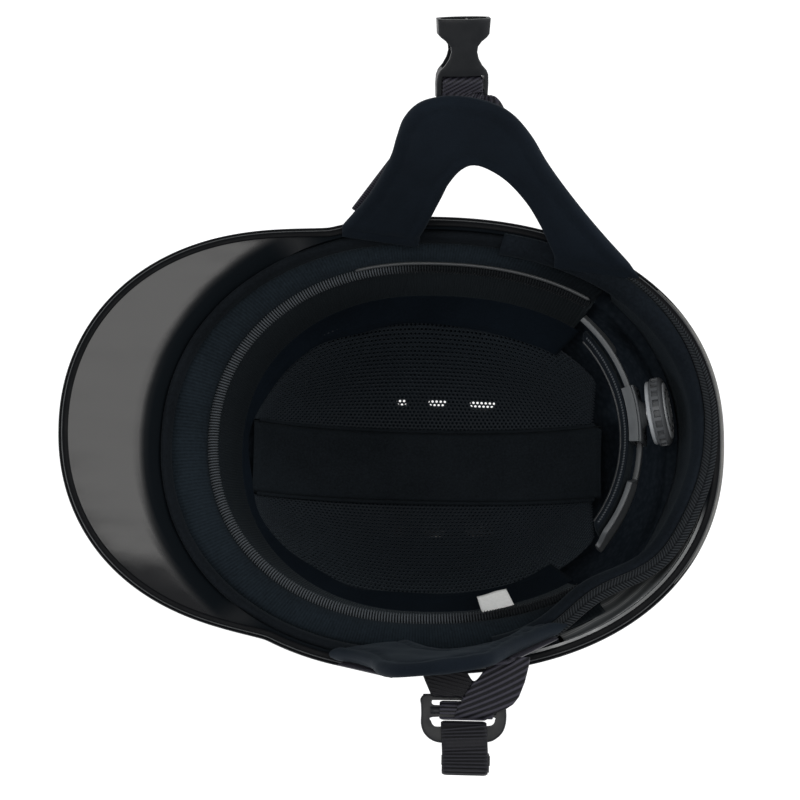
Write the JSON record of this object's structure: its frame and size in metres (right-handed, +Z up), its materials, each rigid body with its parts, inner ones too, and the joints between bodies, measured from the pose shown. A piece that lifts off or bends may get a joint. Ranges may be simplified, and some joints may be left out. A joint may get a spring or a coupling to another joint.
{
  "type": "riding helmet",
  "caption": "Riding helmet with a wide peak, padded liner, rear dial fit system and padded side-release harness, lying on its crown.",
  "frame": {"origin": "middle of the small flat on the crown vent cap, on which the helmet lies", "axes": "+X from the peak towards the nape, +Y towards the wearer's left, +Z up out of the opening"},
  "size_m": [0.3121, 0.3336, 0.2353],
  "materials": {
    "gloss_shell": "gloss",
    "trim_black": "satin",
    "trim_grey": "satin",
    "foam_black": "matte",
    "fleece": "matte",
    "mesh": "matte",
    "binding": "satin",
    "tag_white": "matte",
    "webbing": "satin",
    "buckle_plastic": "satin",
    "cradle_plastic": "satin",
    "dial_grey": "satin",
    "dial_light": "satin",
    "steel": "satin"
  },
  "bodies": {
    "helmet": {"outer_shell": "gloss_shell", "rim_trim": "trim_black", "rear_trim": "trim_grey", "crown_vent_cap": "gloss_shell", "eps_liner": "foam_black", "crown_pad": "fleece", "mesh_panel_left": "mesh", "mesh_panel_right": "mesh", "headband_pad": "fleece", "headband_binding": "binding", "size_tag": "tag_white", "nape_band": "fleece", "nape_binding": "binding", "strap_anchors": "buckle_plastic", "anchor_rivets": "steel", "cradle_housing": "cradle_plastic", "cradle_cover": "cradle_plastic", "cradle_pad": "fleece", "housing_screws": "steel", "detent_spring": "steel"},
    "dial": {"pinion_shaft": "dial_grey", "dial_knob": "dial_grey", "dial_face": "dial_light"},
    "arm_left": {"cradle_arm_left": "cradle_plastic"},
    "arm_right": {"cradle_arm_right": "cradle_plastic"},
    "left_harness": {"left_harness_pad": "fleece", "left_webbing": "webbing"},
    "left_buckle": {"female_buckle": "buckle_plastic"},
    "right_harness": {"right_harness_pad": "fleece", "right_webbing": "webbing"},
    "slide": {"strap_slide": "buckle_plastic", "chin_strap_upper": "webbing"},
    "chin_strap": {"chin_strap_lower": "webbing"},
    "right_buckle": {"male_buckle": "buckle_plastic"},
    "prong_f": {"prong_front": "buckle_plastic"},
    "prong_r": {"prong_rear": "buckle_plastic"}
  },
  "joints": [
    {"name": "dial_turn", "type": "hinge", "parent": "helmet", "child": "dial", "pos_m": [0.10355, 0.01712, 0.12], "axis": [0.9583, 0.1518, 0.2419], "range_deg": [0, 268]},
    {"name": "arm_left_draw", "type": "hinge", "parent": "helmet", "child": "arm_left", "pos_m": [0.027, 0.005, 0.12], "axis": [0, 0, 1], "range_deg": [-11.3, 0]},
    {"name": "arm_right_draw", "type": "hinge", "parent": "helmet", "child": "arm_right", "pos_m": [0.027, 0.005, 0.12], "axis": [0, 0, 1], "range_deg": [0, 11.3]},
    {"name": "left_harness_swing", "type": "hinge", "parent": "helmet", "child": "left_harness", "pos_m": [-0.0426, 0.1, 0.141], "axis": [0.9879, -0.1388, 0.0698], "range_deg": [-33, 55]},
    {"name": "left_buckle_swing", "type": "hinge", "parent": "left_harness", "child": "left_buckle", "pos_m": [0.0159, 0.1485, 0.2075], "axis": [0.9781, 0.104, -0.1801], "range_deg": [-65, 20]},
    {"name": "right_harness_swing", "type": "hinge", "parent": "helmet", "child": "right_harness", "pos_m": [-0.0426, -0.1, 0.141], "axis": [0.9879, 0.1388, 0.0698], "range_deg": [-55, 15]},
    {"name": "slide_swing", "type": "hinge", "parent": "right_harness", "child": "slide", "pos_m": [0.022, -0.1228, 0.2044], "axis": [1, 0, 0], "range_deg": [-50, 0]},
    {"name": "chin_strap_swing", "type": "hinge", "parent": "slide", "child": "chin_strap", "pos_m": [0.023, -0.1489, 0.2031], "axis": [1, 0, 0], "range_deg": [-45, 8]},
    {"name": "right_buckle_swing", "type": "hinge", "parent": "chin_strap", "child": "right_buckle", "pos_m": [0.02541, -0.1489, 0.11103], "axis": [0.9997, 0, 0.0262], "range_deg": [-60, 15]},
    {"name": "prong_rear_squeeze", "type": "hinge", "parent": "right_buckle", "child": "prong_r", "pos_m": [0.03172, -0.1489, 0.09919], "axis": [0, 1, 0], "range_deg": [0, 4.5], "stiffness_Nm_per_rad": 0.02},
    {"name": "prong_front_squeeze", "type": "hinge", "parent": "right_buckle", "child": "prong_f", "pos_m": [0.01972, -0.1489, 0.09888], "axis": [0, 1, 0], "range_deg": [-4.5, 0], "stiffness_Nm_per_rad": 0.02}
  ],
  "couplings": [
    {"joint": "arm_left_draw", "follows": "dial_turn", "ratio": -0.0418},
    {"joint": "arm_right_draw", "follows": "dial_turn", "ratio": 0.0418},
    {"joint": "prong_front_squeeze", "follows": "prong_rear_squeeze", "ratio": -1}
  ]
}
